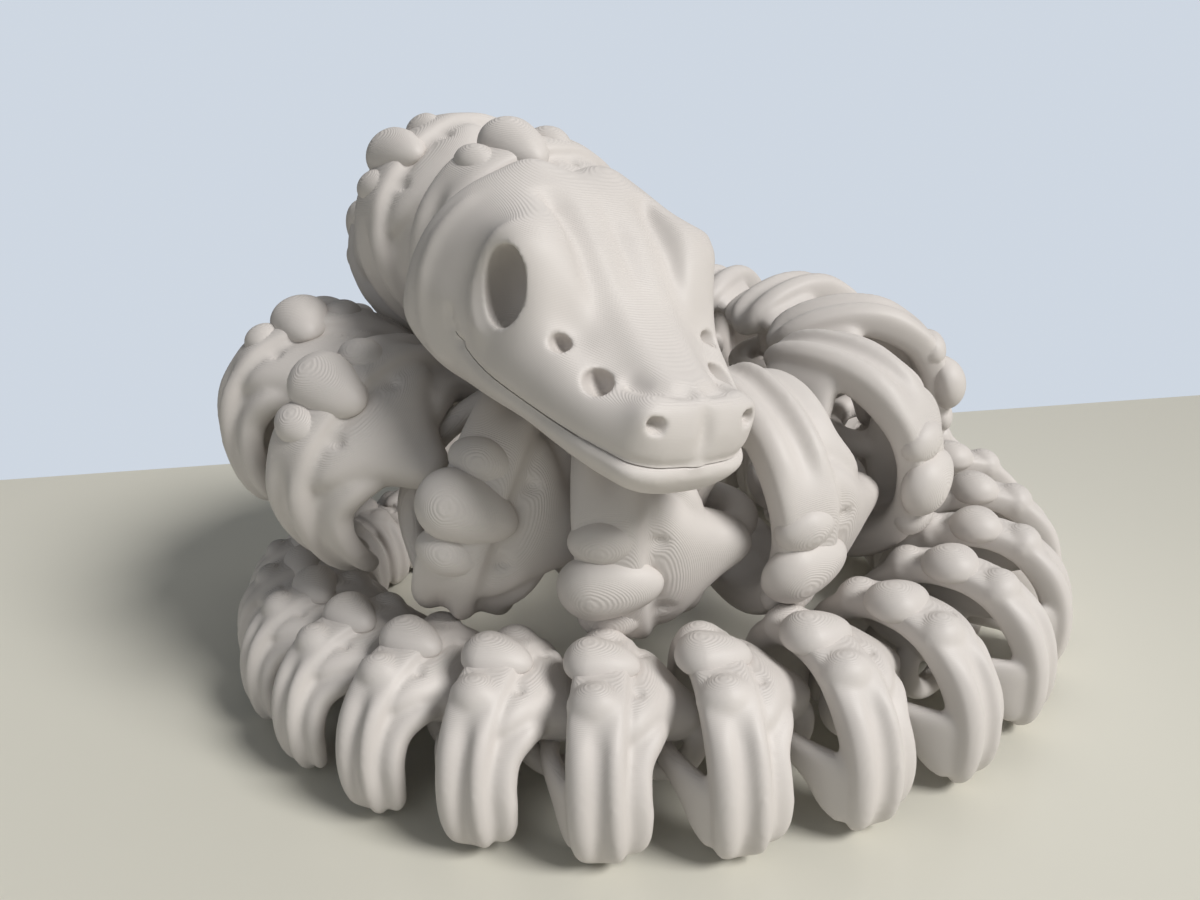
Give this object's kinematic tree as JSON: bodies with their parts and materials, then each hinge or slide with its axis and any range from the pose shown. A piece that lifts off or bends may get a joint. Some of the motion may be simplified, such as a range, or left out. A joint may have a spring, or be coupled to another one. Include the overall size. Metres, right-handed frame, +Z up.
{
  "type": "printed articulated python skeleton figure",
  "caption": "Coiled figure of a python skeleton, printed as a chain of ribbed links with a skull and jaw, in bone-white plastic.",
  "frame": {"origin": "middle of the bottom of the coil's bounding box, on the table", "axes": "+Z up from the table, -Y to the front that the snout points over, +X to the right as seen from that front"},
  "size_m": [0.1976, 0.1996, 0.1191],
  "materials": {
    "bone_white_print": "matte, with fine printed layer lines"
  },
  "bodies": {
    "root": {"link_01": "bone_white_print", "link_02": "bone_white_print", "link_03": "bone_white_print", "link_04": "bone_white_print", "link_05": "bone_white_print", "link_06": "bone_white_print", "link_07": "bone_white_print", "link_08": "bone_white_print", "link_09": "bone_white_print", "link_10": "bone_white_print", "link_11": "bone_white_print", "link_12": "bone_white_print", "link_13": "bone_white_print", "link_14": "bone_white_print", "link_15": "bone_white_print", "link_16": "bone_white_print", "link_17": "bone_white_print", "link_18": "bone_white_print", "link_19": "bone_white_print", "link_20": "bone_white_print", "link_21": "bone_white_print", "link_22": "bone_white_print", "link_23": "bone_white_print", "link_24": "bone_white_print", "link_25": "bone_white_print", "link_26": "bone_white_print", "link_27": "bone_white_print", "link_28": "bone_white_print", "link_29": "bone_white_print", "link_30": "bone_white_print", "link_31": "bone_white_print", "link_32": "bone_white_print", "link_33": "bone_white_print", "link_34": "bone_white_print", "link_35": "bone_white_print", "link_36": "bone_white_print", "link_37": "bone_white_print", "link_38": "bone_white_print", "link_39": "bone_white_print", "link_40": "bone_white_print", "link_41": "bone_white_print", "link_42": "bone_white_print", "link_43": "bone_white_print", "link_44": "bone_white_print", "link_45": "bone_white_print", "skull": "bone_white_print", "lower_jaw": "bone_white_print"}
  },
  "joints": []
}
